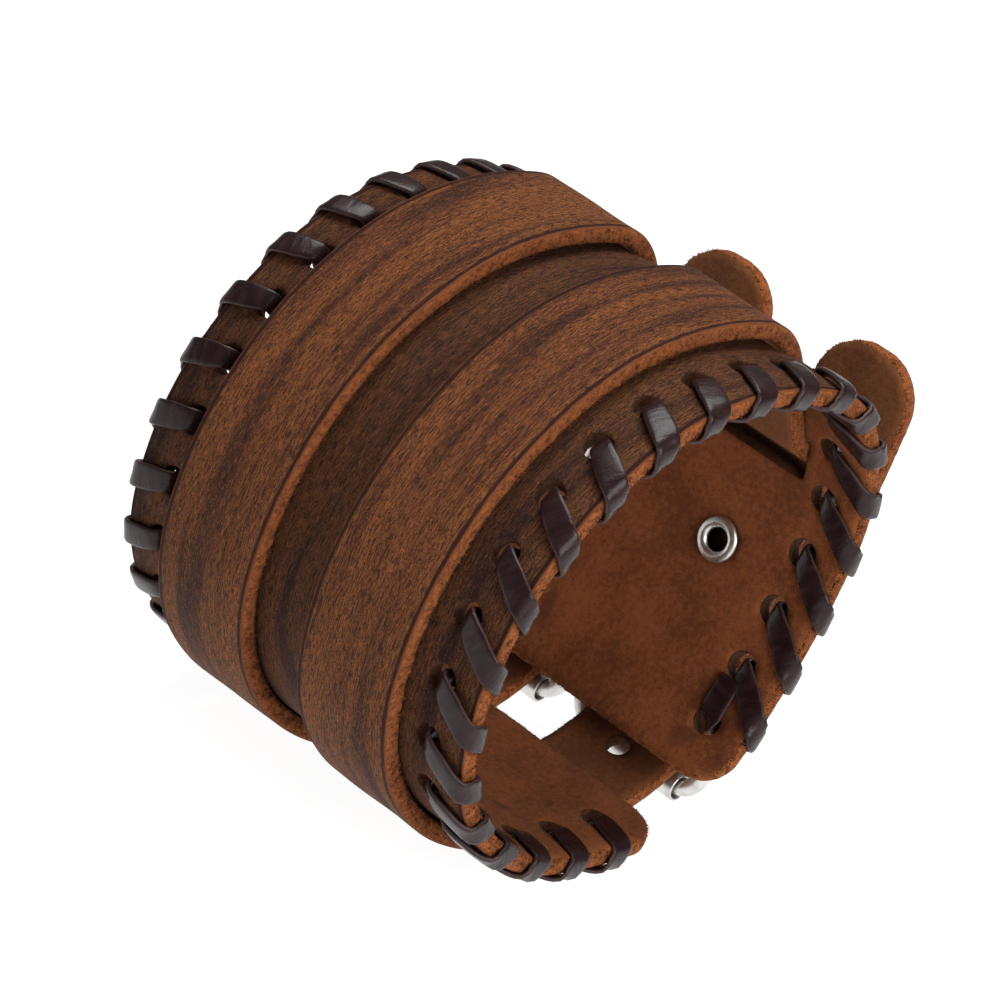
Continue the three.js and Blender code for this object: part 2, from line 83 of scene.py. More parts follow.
# Places along the band
STRAP_LEAVES = 0.0615 * BAND_LENGTH
ARCH_STARTS = 0.3224 * BAND_LENGTH
DIVE_STARTS = 0.6423 * BAND_LENGTH
EMERGE_STARTS = 0.7619 * BAND_LENGTH
FOLD_ENDS = 0.8273 * BAND_LENGTH
RIVET_AT = 0.866 * BAND_LENGTH
HEEL_AT = 0.9503 * BAND_LENGTH

# Lift of a belt's middle over the grain face of the band
SNUG = GAP + STRAP_THICK / 2
ARCHED = SNUG + STRAP_ARCH
INSIDE = -(BAND_THICK + GAP + STRAP_THICK / 2)
FOLD_UNDER = GAP + STRAP_SKIVED / 2
OVER_FOLD = 2 * GAP + STRAP_SKIVED + STRAP_THICK / 2
FOLD_RADIUS = WIRE + GAP + STRAP_SKIVED / 2
BAR_LIFT = FOLD_UNDER + FOLD_RADIUS
OVER_BAR = BAR_LIFT + FOLD_RADIUS

# Lacing: the stitches of each rim lean by a share of the pitch that changes from its first hole to its last
LACE_WIDTH = 2.6
LACE_THICK = 0.62
LACE_CLEAR = 0.1
LACE_HOLE = 1.45
LACE_HOLES = 24
LACE_FIRST = 5.6
LACE_LAST = 5.8
LACE_TUCK = 5.0
LACE_GATHER = 0.24  # share of its width that the lace loses in a hole
LACE_SWELL = 0.16
LACE_STEP = 10  # degrees
LOOP_POWER = 3.6
LOOP_REACH = 2.5
LOOP_DEPTH = BAND_THICK / 2 + LACE_CLEAR + LACE_THICK / 2
RIMS = {
    "near": {"side": -1, "inset": 4.65, "slant": (0.75, 0.2)},
    "far": {"side": 1, "inset": 4.3, "slant": (0.3, 0.25)},
}

# Fineness of the cut leather
PATH_STEP = 0.25
FOLD_STEPS = 24
EDGE_CLEAR = 0.72
HOLE_EDGE = 0.985  # share of its radius inside which a hole has no leather
RIPPLE = 0.22
SWELL = 0.1
SLOT_HALF = STRAP_WIDTH / 2 + 0.7 * GAP
SLOT_CORNER = 0.4
RING_SLOT_HALF = PRONG + GAP
RING_SLOT_CORNER = 0.6
FOLD_END_CORNER = 0.8
SEEDS = {"band": 11, "near": 27, "far": 26}
FIBRES = {"band": 9000, "near": 8000, "far": 8000}

# Course of the band and the belts


def bends_before(s):
    turned, start = 0.0, 0.0
    for share, turn in BENDS:
        turned += min(max((s / BAND_LENGTH - start) / share, 0), 1) * math.radians(turn)
        start += share
    return turned


START_HEADING = math.pi + bends_before(STRAP_LEAVES)


def band_at(s):
    """Place on the grain face at s along the band, with its heading, for one value or many."""
    s = np.asarray(s, float)
    x, z = np.full(s.shape, LEFT_END[0]), np.full(s.shape, LEFT_END[2])
    heading, left = np.full(s.shape, START_HEADING), s.copy()
    for row, (share, turn) in enumerate(BENDS):
        whole = share * BAND_LENGTH
        run = left if row == len(BENDS) - 1 else np.minimum(left, whole)
        curve = math.radians(turn) / whole
        end = heading - curve * run
        x = x + (np.sin(heading) - np.sin(end)) / curve
        z = z + (np.cos(end) - np.cos(heading)) / curve
        heading, left = end, left - run
    return x, z, heading


def over_band(s, lift, y):
    """Place at a lift over the grain face, y across the band."""
    x, z, heading = band_at(s)
    return np.stack([x - np.sin(heading) * lift, y + LEFT_END[1] + 0 * x, z + np.cos(heading) * lift], -1)


def between(s, start, end):
    """A smooth rise from 0 at start to 1 at end."""
    return (1 - np.cos(np.pi * np.clip((s - start) / (end - start), 0, 1))) / 2


def strap_lift(s):
    lift = SNUG + between(s, ARCH_STARTS, DIVE_STARTS) * STRAP_ARCH
    lift = lift + between(s, DIVE_STARTS, DIVE_STARTS + DIVE_LENGTH) * (INSIDE - ARCHED)
    lift = lift + between(s, EMERGE_STARTS, EMERGE_STARTS + EMERGE_LENGTH) * (OVER_FOLD - INSIDE)
    return lift + between(s, RIVET_AT + RIVET_FLANGE, HEEL_AT) * (OVER_BAR - OVER_FOLD)


def free_run(distance):
    """Middle of a belt's free run, told back from where it leaves the band, and how far it has turned up."""
    start = over_band(STRAP_LEAVES, SNUG, 0)
    x, z, turned = start[0] + min(distance, REST_STRETCH), start[2], 0.0
    left = max(distance - REST_STRETCH, 0)
    for radius, turn in FREE_BENDS:
        part = min(left / radius, math.radians(turn))
        x += radius * (math.sin(turned + part) - math.sin(turned))
        z += radius * (math.cos(turned) - math.cos(turned + part))
        turned, left = turned + part, left - part * radius
    return x + left * math.cos(turned), z + left * math.sin(turned), turned


FIRST_BEND_END = REST_STRETCH + FREE_BENDS[0][0] * math.radians(FREE_BENDS[0][1])
TAIL_STARTS = REST_STRETCH + sum(radius * math.radians(turn) for radius, turn in FREE_BENDS)
FREE_LENGTH = TAIL_STARTS + TAIL_LENGTH
FREE_STEPS = np.arange(FREE_LENGTH, PATH_STEP / 2, -PATH_STEP)
OVER_STEPS = np.arange(STRAP_LEAVES, HEEL_AT, PATH_STEP)
BACK_STEPS = np.arange(HEEL_AT - PATH_STEP, FOLD_ENDS, -PATH_STEP)
HEEL_HEADING = float(band_at(HEEL_AT)[2])
HEEL = over_band(HEEL_AT, BAR_LIFT, 0)[[0, 2]]


def belt_course():
    """Middle line of a belt from its tip to the end of its fold, as columns x, z, heading, thickness, run."""
    rows = [(x, z, turned + math.pi, STRAP_THICK) for x, z, turned in map(free_run, FREE_STEPS)]
    middle = over_band(OVER_STEPS, strap_lift(OVER_STEPS), 0)
    slope = np.gradient(strap_lift(OVER_STEPS), OVER_STEPS)
    heading = band_at(OVER_STEPS)[2] + np.arctan(slope)
    skiving = between(OVER_STEPS, RIVET_AT + RIVET_FLANGE, HEEL_AT)
    thick = STRAP_THICK + skiving * (STRAP_SKIVED - STRAP_THICK)
    rows += list(zip(middle[:, 0], middle[:, 2], heading, thick))
    for turned in np.linspace(0, math.pi, FOLD_STEPS):
        a = HEEL_HEADING - turned
        x = HEEL[0] - math.sin(a) * FOLD_RADIUS
        z = HEEL[1] + math.cos(a) * FOLD_RADIUS
        rows.append((x, z, a, STRAP_SKIVED))
    for at in BACK_STEPS:
        x, _, z = over_band(at, FOLD_UNDER, 0)
        rows.append((x, z, float(band_at(at)[2]) - math.pi, STRAP_SKIVED))
    course = np.array(rows)
    steps = np.hypot(*np.diff(course[:, :2], axis=0).T)
    return np.column_stack([course, np.concatenate([[0], np.cumsum(steps)])])


COURSE = belt_course()
BELT_LENGTH = COURSE[-1, 4]
OVER_RUNS = COURSE[len(FREE_STEPS):len(FREE_STEPS) + len(OVER_STEPS), 4]
RUN_AT_HEEL = float(COURSE[len(FREE_STEPS) + len(OVER_STEPS), 4])
RUN_AT_RIVET = float(np.interp(RIVET_AT, OVER_STEPS, OVER_RUNS))


def roller_place():
    x, z, turned = free_run(FIRST_BEND_END)
    under = np.array([math.sin(turned), -math.cos(turned)])
    return np.array([x, z]) + under * (STRAP_THICK / 2 + GAP + ROLLER), under


ROLLER_AT, UNDER_BELT = roller_place()


def prong_line():
    """Direction of a prong from the heel bar, and the middle of its tip past the roller."""
    reach = ROLLER_AT - HEEL
    outward = np.array([-reach[1], reach[0]]) / np.hypot(*reach)
    if outward @ UNDER_BELT < 0:
        outward = -outward
    over = ROLLER_AT + outward * (ROLLER + GAP + PRONG)
    direction = (over - HEEL) / np.hypot(*(over - HEEL))
    return direction, over + direction * PRONG_OVERHANG


PRONG_ALONG, PRONG_END = prong_line()


def prong_crossing():
    """Distance back along the free run at which a prong passes through its belt."""
    trials = np.linspace(REST_STRETCH, TAIL_STARTS, 401)
    places = np.array([free_run(d)[:2] for d in trials]) - HEEL
    return trials[np.abs(places[:, 0] * PRONG_ALONG[1] - places[:, 1] * PRONG_ALONG[0]).argmin()]


HOLE_IN_USE = prong_crossing()

# Materials


class Term:
    """A socket that can be used in sums with numbers and other sockets."""

    def __init__(self, shade, socket):
        self.shade, self.socket = shade, socket

    def __add__(self, other):
        return self.shade.maths("ADD", self, other)

    def __radd__(self, other):
        return self.shade.maths("ADD", other, self)

    def __sub__(self, other):
        return self.shade.maths("SUBTRACT", self, other)

    def __rsub__(self, other):
        return self.shade.maths("SUBTRACT", other, self)

    def __mul__(self, other):
        return self.shade.maths("MULTIPLY", self, other)

    def __rmul__(self, other):
        return self.shade.maths("MULTIPLY", other, self)

    def __pow__(self, other):
        return self.shade.maths("POWER", self, other)

    def __abs__(self):
        return self.shade.maths("ABSOLUTE", self)


class Shade:
    """One material and the nodes in it."""

    def __init__(self, name):
        self.material = bpy.data.materials.new(name)
        self.material.use_nodes = True
        self.tree = self.material.node_tree
        self.tree.nodes.clear()

    def feed(self, socket, value):
        if isinstance(value, Term):
            self.tree.links.new(value.socket, socket)
        else:
            socket.default_value = value

    def node(self, kind, settings=None, inputs=None, output=0):
        made = self.tree.nodes.new(kind)
        for key, value in (settings or {}).items():
            setattr(made, key, value)
        for key, value in (inputs or {}).items():
            self.feed(made.inputs[key], value)
        return Term(self, made.outputs[output])

    def maths(self, operation, *values):
        return self.node("ShaderNodeMath", {"operation": operation}, dict(enumerate(values)))

    def least(self, a, b):
        return self.maths("MINIMUM", a, b)

    def most(self, a, b):
        return self.maths("MAXIMUM", a, b)

    def ramp(self, value, low, high):
        """A smooth rise from 0 at low to 1 at high, or a fall where low is the larger."""
        inputs = {"Value": value, "From Min": low, "From Max": high}
        return self.node("ShaderNodeMapRange", {"interpolation_type": "SMOOTHSTEP"}, inputs)

    def mix(self, share, a, b):
        a, b = ((*colour, 1) if isinstance(colour, tuple) else colour for colour in (a, b))
        return self.node("ShaderNodeMix", {"data_type": "RGBA"}, {0: share, 6: a, 7: b}, 2)

    def flat(self):
        """Place on the cut leather in millimetres: along it and across it."""
        place = self.node("ShaderNodeUVMap", {"uv_map": "flat"})
        return tuple(self.node("ShaderNodeSeparateXYZ", None, {0: place}, i) for i in range(2))

    def at(self, x, y, z=0.0):
        return self.node("ShaderNodeCombineXYZ", None, {0: x, 1: y, 2: z})

    def body(self):
        """Place in the bracelet in millimetres."""
        place = self.node("ShaderNodeTexCoord", None, None, 3)
        return self.node("ShaderNodeVectorMath", {"operation": "SCALE"}, {0: place, "Scale": 1 / MM})

    def noise(self, place, scale, detail=4.0, rough=0.55, bend=0.0):
        inputs = {"Vector": place, "Scale": scale, "Detail": detail, "Roughness": rough, "Distortion": bend}
        return self.node("ShaderNodeTexNoise", None, inputs)

    def bump(self, height, distance, strength):
        inputs = {"Height": height, "Distance": distance * MM, "Strength": strength}
        return self.node("ShaderNodeBump", None, inputs)

    def finish(self, inputs):
        surface = self.node("ShaderNodeBsdfPrincipled", None, inputs)
        out = self.tree.nodes.new("ShaderNodeOutputMaterial")
        self.feed(out.inputs["Surface"], surface)
        return self.material


# Layers of the grain: cycles a millimetre along and across, place in the noise, detail, roughness, bend
GRAIN_LAYERS = {
    "broad": (0.022, 0.22, 3, 2.0, 0.6, 0.0),
    "zone": (0.04, 0.6, 7, 3.0, 0.6, 0.2),
    "line": (0.13, 3.2, 11, 3.0, 0.65, 0.0),
    "grain": (0.9, 8.5, 17, 3.0, 0.75, 0.1),
    "speck": (4.2, 8.0, 23, 3.0, 0.75, 0.0),
}
WANDER = 2.0  # how far the streaks stray sideways
TURNED_TONE, CREASE_TONE = (0.19, 0.055, 0.017), (0.018, 0.004, 0.004)
CREASE_AT = 0.42  # distance of the dark crease from the cut edge
BLOT_TONE = (0.034, 0.010, 0.012)
# pale tone painted along the lace's edges as a highlight
LACE_EDGE_HIGHLIGHT = (0.15, 0.095, 0.09)


def distance_to_cut(shade, u, v, length, half, corner):
    """How far a place on the leather is from its cut outline."""
    along = abs(u - length / 2) - (length / 2 - corner)
    across = abs(v) - (half - corner)
    outer_u, outer_v = shade.most(along, 0.0), shade.most(across, 0.0)
    outside = (outer_u * outer_u + outer_v * outer_v) ** 0.5
    return corner - outside - shade.least(shade.most(along, across), 0.0)


def grain_leather(name, light, middle, dark, length, half, corner, offset):
    """Distressed grain: fine lines and streaks along the leather, with a dark crease by every cut edge."""
    shade = Shade(name)
    u, v = shade.flat()
    across = v + (shade.noise(shade.at(u * 0.05, v * 0.05, offset), 1.0, 2.0) - 0.5) * WANDER
    broad, zone, line, grain, speck = (
        shade.noise(shade.at(u * along, across * wide, offset + place), 1.0, detail, rough, bend)
        for along, wide, place, detail, rough, bend in GRAIN_LAYERS.values()
    )
    colour = shade.mix(shade.ramp(broad * 0.5 + zone * 0.35 + line * 0.15, 0.38, 0.60), middle, light)
    colour = shade.mix(shade.ramp(zone * 0.55 + broad * 0.45, 0.50, 0.36) * 0.6, colour, dark)
    colour = shade.mix(shade.ramp(line * 0.75 + grain * 0.25, 0.47, 0.36) * 0.7, colour, dark)
    colour = shade.mix(shade.ramp(grain * 0.6 + speck * 0.4, 0.54, 0.43) * 0.95, colour, dark)
    glint = tuple(min(channel * 2.3, 1.0) for channel in light)
    colour = shade.mix(shade.ramp(grain * 0.5 + speck * 0.5, 0.53, 0.66) * 0.6, colour, glint)
    cut = distance_to_cut(shade, u, v, length, half, corner) + (line - 0.5) * 0.35
    colour = shade.mix(shade.ramp(cut, 0.27, 0.15) * 0.8, colour, TURNED_TONE)
    crease = shade.ramp(abs(cut - CREASE_AT), 0.30, 0.08)
    colour = shade.mix(crease * 0.9, colour, CREASE_TONE)
    rough = 0.58 + 0.2 * grain
    normal = shade.bump(grain * 0.6 + speck * 0.4 + line * 0.35 - crease * 0.5, 0.28, 1.0)
    inputs = {"Base Color": colour, "Roughness": rough, "Normal": normal, "Specular IOR Level": 0.14}
    return shade.finish(inputs)


def suede(name, light, dark, blotted=False):
    """The napped flesh side of the leather."""
    shade = Shade(name)
    place = shade.at(*shade.flat())
    cloud = shade.noise(place, 0.12, 4.0, 0.6)
    nap = shade.noise(place, 1.6, 5.0, 0.7)
    fine = shade.noise(place, 6.0, 3.0, 0.7)
    colour = shade.mix(shade.ramp(cloud * 0.35 + nap * 0.35 + fine * 0.3, 0.42, 0.58), dark, light)
    if blotted:
        blot = shade.ramp(shade.noise(place, 0.17, 2.0, 0.5, 0.8), 0.63, 0.72)
        colour = shade.mix(blot * 0.45, colour, BLOT_TONE)
    normal = shade.bump(nap * 0.5 + fine * 0.5, 0.22, 0.8)
    inputs = {"Base Color": colour, "Roughness": 0.93, "Normal": normal, "Specular IOR Level": 0.15}
    return shade.finish({**inputs, "Sheen Weight": 0.08, "Sheen Tint": (0.9, 0.55, 0.35, 1)})


def raw_edge(name, dark, light):
    """Fibrous leather as it shows in a cut."""
    shade = Shade(name)
    place = shade.body()
    clump = shade.noise(place, 1.5, 3.0, 0.6)
    fibre = shade.noise(place, 5.0, 3.0, 0.7)
    colour = shade.mix(shade.ramp(clump * 0.45 + fibre * 0.55, 0.36, 0.60), dark, light)
    normal = shade.bump(fibre * 0.6 + clump * 0.4, 0.5, 1.0)
    inputs = {"Base Color": colour, "Roughness": 0.9, "Normal": normal, "Specular IOR Level": 0.15}
    return shade.finish({**inputs, "Sheen Weight": 0.1, "Sheen Tint": (1.0, 0.6, 0.35, 1)})


def smooth_lace(name):
    """Dark glossy lace with fine wrinkles across it, and rougher edges with a painted highlight along them.
    """
    shade = Shade(name)
    u, v = shade.flat()
    wrinkle = shade.noise(shade.at(u * 1.1, v * 0.35), 1.0, 3.0, 0.55, 0.4)
    speck = shade.noise(shade.body(), 7.0, 2.0, 0.6)
    edge = shade.ramp(abs(v), 1.2, 1.3)
    colour = shade.mix(shade.ramp(wrinkle, 0.4, 0.7), (0.017, 0.0065, 0.0068), (0.030, 0.0135, 0.0138))
    # painted highlight: a pale tone along the lace's rounded edges
    colour = shade.mix(edge * 0.3, colour, LACE_EDGE_HIGHLIGHT)
    rough = 0.2 + 0.16 * speck + 0.1 * edge
    normal = shade.bump(wrinkle * 0.8 + speck * 0.2, 0.18, 0.6)
    inputs = {"Base Color": colour, "Roughness": rough, "Normal": normal, "Specular IOR Level": 0.2}
    return shade.finish({**inputs, "Coat Weight": 0.05, "Coat Roughness": 0.1})


def satin_nickel(name, light, dark):
    shade = Shade(name)
    place = shade.body()
    brushed = shade.noise(place, 2.2, 4.0, 0.6)
    scuff = shade.noise(place, 0.5, 3.0, 0.6)
    colour = shade.mix(shade.ramp(scuff, 0.4, 0.7), light, dark)
    rough = 0.27 + 0.2 * brushed
    normal = shade.bump(brushed, 0.03, 0.5)
    return shade.finish({"Base Color": colour, "Metallic": 1.0, "Roughness": rough, "Normal": normal})


TAN, COGNAC, UMBER = (0.245, 0.080, 0.021), (0.110, 0.034, 0.012), (0.016, 0.006, 0.006)
CHESTNUT, WALNUT, SOOT = (0.145, 0.052, 0.018), (0.068, 0.024, 0.011), (0.011, 0.005, 0.005)
band_grain = grain_leather(
    "band_grain", CHESTNUT, WALNUT, SOOT, BAND_LENGTH, BAND_WIDTH / 2, BAND_CORNER, 31.0,
)
belt_grain = {
    side: grain_leather(
        "belt_grain_" + side, TAN, COGNAC, UMBER, 2 * BELT_LENGTH, STRAP_WIDTH / 2, STRAP_TIP_RADIUS, offset,
    )
    for side, offset in (("near", 5.0), ("far", 57.0))
}
band_suede = suede("band_suede", (0.265, 0.080, 0.026), (0.125, 0.036, 0.012), True)
belt_suede = suede("belt_suede", (0.200, 0.070, 0.026), (0.115, 0.038, 0.014))
edge_leather = raw_edge("raw_edge", (0.085, 0.020, 0.006), (0.38, 0.108, 0.029))
# walls of the lace holes, rivet holes and slots: a darker copy of the raw edge, painted shade inside them
shaded_hole_leather = raw_edge("shaded_hole_wall", (0.020, 0.007, 0.005), (0.10, 0.032, 0.012))
lace_leather = smooth_lace("lace_leather")
nickel = satin_nickel("nickel", (0.74, 0.72, 0.69), (0.55, 0.53, 0.50))
# near-black copy of the nickel: painted shade inside the rivets' bores
painted_shade_bore = satin_nickel("painted_shade_bore", (0.06, 0.05, 0.045), (0.03, 0.025, 0.02))

# Pieces


def new_piece(name, places, faces, materials, marks=None, flat=None):
    """A smooth object from places in millimetres; marks choose materials, flat is how it lies cut out."""
    mesh = bpy.data.meshes.new(name)
    mesh.from_pydata((places * MM).tolist(), [], [tuple(int(i) for i in face) for face in faces])
    for material in materials:
        mesh.materials.append(material)
    if marks is not None:
        mesh.polygons.foreach_set("material_index", marks)
    mesh.polygons.foreach_set("use_smooth", [True] * len(faces))
    if flat is not None:
        corners = np.empty(len(mesh.loops), np.int32)
        mesh.loops.foreach_get("vertex_index", corners)
        mesh.uv_layers.new(name="flat").data.foreach_set("uv", flat[corners].astype(np.float32).ravel())
    mesh.update()
    piece = bpy.data.objects.new(name, mesh)
    bpy.context.collection.objects.link(piece)
    return piece


def take_over(piece, node):
    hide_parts(node)
    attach(piece, "root")


# Cut leather: a flat outline with holes, thickened, with soft corners and frayed edges, then bent

GRAIN_FINISH, SUEDE_FINISH, EDGE_FINISH, HOLE_FINISH = range(4)

# Rows of a cut wall from the grain side down: share of the thickness, inset from the outline, fraying
OUTER_WALL = {
    "rows": ((0.0, 0.27, 0.0), (0.03, 0.12, 0.0), (0.1, 0.04, 0.04), (0.25, 0.0, 0.10), (0.42, -0.02, 0.14),
             (0.6, 0.0, 0.16), (0.8, 0.03, 0.2), (1.0, 0.16, 0.12)),
    "grain_rows": 2,
    "finish": EDGE_FINISH,
}
HOLE_WALL = {
    "rows": ((0.0, 0.3, 0.0), (0.06, 0.1, 0.0), (0.2, 0.0, 0.02), (0.8, 0.0, 0.04), (1.0, 0.12, 0.04)),
    "grain_rows": 1,
    "finish": HOLE_FINISH,
}


def rounded_outline(u0, u1, half, radius0, radius1, step):
    """Points anticlockwise round a strip whose ends have rounded corners, and the way out at each."""
    points, outward = [], []

    def line(a, b, way):
        count = max(int(math.dist(a, b) / step), 1)
        for i in range(count):
            points.append((a[0] + (b[0] - a[0]) * i / count, a[1] + (b[1] - a[1]) * i / count))
            outward.append(way)

    def arc(centre, radius, start):
        count = max(int(radius * math.pi / 2 / step), 3)
        for i in range(count):
            a = start + math.pi / 2 * i / count
            points.append((centre[0] + radius * math.cos(a), centre[1] + radius * math.sin(a)))
            outward.append((math.cos(a), math.sin(a)))

    line((u0 + radius0, -half), (u1 - radius1, -half), (0, -1))
    arc((u1 - radius1, radius1 - half), radius1, -math.pi / 2)
    line((u1, radius1 - half), (u1, half - radius1), (1, 0))
    arc((u1 - radius1, half - radius1), radius1, 0)
    line((u1 - radius1, half), (u0 + radius0, half), (0, 1))
    arc((u0 + radius0, half - radius0), radius0, math.pi / 2)
    line((u0, half - radius0), (u0, radius0 - half), (-1, 0))
    arc((u0 + radius0, radius0 - half), radius0, math.pi)
    return np.array(points), np.array(outward)


def hole_loop(points, outward, shift=(0, 0)):
    """An outline turned round so that it bounds a hole."""
    return points[::-1] + np.array(shift), -outward[::-1], HOLE_WALL


def round_hole(u, v, radius, count):
    a = np.linspace(0, 2 * np.pi, count, endpoint=False)
    way = np.column_stack([np.cos(a), np.sin(a)])
    return hole_loop(way * radius, way, (u, v))


def inside_outline(points, u0, u1, half, radius0, radius1):
    middle = (u0 + u1) / 2
    radius = np.where(points[:, 0] < middle, radius0, radius1)
    along = np.abs(points[:, 0] - middle) - ((u1 - u0) / 2 - radius)
    across = np.abs(points[:, 1]) - (half - radius)
    outside = np.hypot(np.maximum(along, 0), np.maximum(across, 0))
    return outside + np.minimum(np.maximum(along, across), 0) < radius


def outside_hole(points, u, v, radius):
    return np.hypot(points[:, 0] - u, points[:, 1] - v) > radius * HOLE_EDGE


def cut_sheet(loops, is_leather, spacing, length, half):
    """Places on the flat sheet, those of the loops first, and the triangles that fill it around its holes."""
    edge_points = np.concatenate([points for points, _, _ in loops])
    tree = kdtree.KDTree(len(edge_points))
    for i, (u, v) in enumerate(edge_points):
        tree.insert((u, v, 0), i)
    tree.balance()
    us = np.arange(spacing / 2, length, spacing)
    vs = np.arange(-half + spacing / 2, half, spacing)
    grid = np.array([(u + (spacing / 2 if k % 2 else 0), v) for u in us for k, v in enumerate(vs)])
    grid = grid[is_leather(grid)]
    grid = np.array([place for place in grid if tree.find((*place, 0))[2] > EDGE_CLEAR])
    points = np.concatenate([edge_points, grid])
    edges, start = [], 0
    for loop, _, _ in loops:
        count = len(loop)
        edges += [(start + i, start + (i + 1) % count) for i in range(count)]
        start += count
    _, _, faces, origin, _, _ = geometry.delaunay_2d_cdt([Vector(p) for p in points], edges, [], 0, 1e-6)
    back = [ids[0] for ids in origin]
    faces = np.array([[back[i] for i in face] for face in faces if len(face) == 3])
    return points, faces[is_leather(points[faces].mean(1))]


def drawn_in(flat, loops, row):
    """The flat places with those of the loops drawn in by the inset of one row of their walls."""
    moved, start = flat.copy(), 0
    for points, outward, wall in loops:
        end = start + len(points)
        moved[start:end] -= outward * wall["rows"][row][1]
        start = end
    return moved


def tear(points, depth, seed):
    """How far each place of a raw edge stands out or in, from about -1 to 1."""
    return np.array([
        0.6 * noise.noise(Vector((u * 1.3, v * 1.3, depth * 2 + seed)))
        + 0.8 * noise.noise(Vector((u * 4.1, v * 4.1, depth * 5 + seed)))
        for u, v in points
    ])


def edge_fibres(outline, outward, count, seed):
    """Four corners for each fibre of a raw edge, as distance along, distance across and depth share."""
    picker = random.Random(seed)
    corners = []
    for _ in range(count):
        i = picker.randrange(len(outline))
        deep = picker.uniform(0.3, 1.0)
        length = picker.uniform(0.12, 0.34) * (0.5 + deep)
        lean = picker.uniform(-0.7, 0.7)
        base = outline[i] - outward[i] * 0.12
        side = np.array([-outward[i][1], outward[i][0]])
        tip = base + outward[i] * (0.12 + length * 0.55) + side * length * lean
        drop = min(deep + length * picker.uniform(-0.2, 0.25), 1.06)
        width = picker.uniform(0.04, 0.10)
        corners.append((*(base + side * width), deep))
        corners.append((*(base - side * width), deep))
        corners.append((*base, min(deep + 0.06, 1.0)))
        corners.append((*tip, drop))
    return np.array(corners)


def leather_piece(name, loops, is_leather, spacing, length, half, bend, grain, flesh, seed, fibres):
    """bend takes distance along, distance across and depth share from the grain side, and gives places."""
    flat, faces = cut_sheet(loops, is_leather, spacing, length, half)
    total = len(flat)
    sheets = [drawn_in(flat, loops, 0), drawn_in(flat, loops, -1)]
    depths = [np.zeros(total), np.ones(total)]
    polygons = [tuple(face) for face in faces] + [tuple(face[::-1] + total) for face in faces]
    marks = [GRAIN_FINISH] * len(faces) + [SUEDE_FINISH] * len(faces)
    made, start = 2 * total, 0
    for points, outward, wall in loops:
        count = len(points)
        rows = [np.arange(start, start + count)]
        for depth, inset, fray in wall["rows"][1:-1]:
            torn = tear(points, depth, seed)
            sheets.append(points + outward * (torn * fray * 1.6 - inset)[:, None])
            depths.append(depth + torn * (0.05 if 0.2 < depth < 0.9 else 0))
            rows.append(np.arange(made, made + count))
            made += count
        rows.append(np.arange(start, start + count) + total)
        for row, (above, below) in enumerate(zip(rows, rows[1:])):
            polygons += [
                (above[i], below[i], below[(i + 1) % count], above[(i + 1) % count]) for i in range(count)
            ]
            marks += [GRAIN_FINISH if row < wall["grain_rows"] else wall["finish"]] * count
        start += count
    corners = edge_fibres(*loops[0][:2], fibres, seed)
    for a in range(made, made + len(corners), 4):
        b, c, tip = a + 1, a + 2, a + 3
        polygons += [(a, b, c), (a, tip, b), (b, tip, c), (c, tip, a)]
        marks += [EDGE_FINISH] * 4
    sheet = np.concatenate(sheets)
    body = bend(sheet[:, 0], sheet[:, 1], np.concatenate(depths))
    fuzz = bend(corners[:, 0], corners[:, 1], corners[:, 2])
    across = np.concatenate([sheet, corners[:, :2]])
    materials = (grain, flesh, edge_leather, shaded_hole_leather)
    return new_piece(name, np.concatenate([body, fuzz]), polygons, materials, marks, across)


# Band


def lace_at(hole):
    """Distance along the band of a lace hole, the first being 1."""
    return LACE_FIRST + (hole - 1) * (BAND_LENGTH - LACE_FIRST - LACE_LAST) / (LACE_HOLES - 1)


def slot_window(starts, run, from_lift, to_lift):
    """Where a belt's slot starts and ends along the band."""
    share = (from_lift + BAND_THICK / 2) / (from_lift - to_lift)
    phase = math.acos(1 - 2 * share)
    angle = math.atan(abs((from_lift - to_lift) / run * math.pi / 2 * math.sin(phase)))
    length = (STRAP_THICK + 2 * GAP) / math.sin(angle) + BAND_THICK / math.tan(angle) + GAP
    middle = starts + phase / math.pi * run
    return middle - length / 2, middle + length / 2


def make_band():
    half = BAND_WIDTH / 2
    holes = [
        (lace_at(hole), rim["side"] * (half - rim["inset"]), LACE_HOLE)
        for rim in RIMS.values() for hole in range(1, LACE_HOLES + 1)
    ]
    holes += [(RIVET_AT, y, RIVET_SHANK + GAP) for y in STRAP_Y.values()]
    dive = slot_window(DIVE_STARTS, DIVE_LENGTH, ARCHED, INSIDE)
    emerge = slot_window(EMERGE_STARTS, EMERGE_LENGTH, INSIDE, OVER_FOLD)
    windows = [(*window, y) for y in STRAP_Y.values() for window in (dive, emerge)]
    loops = [(*rounded_outline(0, BAND_LENGTH, half, BAND_CORNER, BAND_CORNER, 0.33), OUTER_WALL)]
    loops += [round_hole(u, v, radius, 28) for u, v, radius in holes]
    for u0, u1, y in windows:
        outline = rounded_outline(u0, u1, SLOT_HALF, SLOT_CORNER, SLOT_CORNER, 0.5)
        loops.append(hole_loop(*outline, (0, y)))

    def is_leather(points):
        keep = inside_outline(points, 0, BAND_LENGTH, half, BAND_CORNER, BAND_CORNER)
        for u, v, radius in holes:
            keep &= outside_hole(points, u, v, radius)
        for u0, u1, y in windows:
            shifted = points - np.array([0, y])
            keep &= ~inside_outline(shifted, u0, u1, SLOT_HALF, SLOT_CORNER, SLOT_CORNER)
        return keep

    def bend(u, v, depth):
        ripple = np.array([noise.noise(Vector((a * 0.09, b * 0.11, 4.0))) for a, b in zip(u, v)]) * RIPPLE
        return over_band(u, -depth * BAND_THICK + ripple * (depth < 1.01), v)

    return leather_piece(
        "cuff_band", loops, is_leather, 0.8, BAND_LENGTH, half, bend, band_grain, band_suede,
        SEEDS["band"], FIBRES["band"],
    )


take_over(make_band(), "band")

# Belts


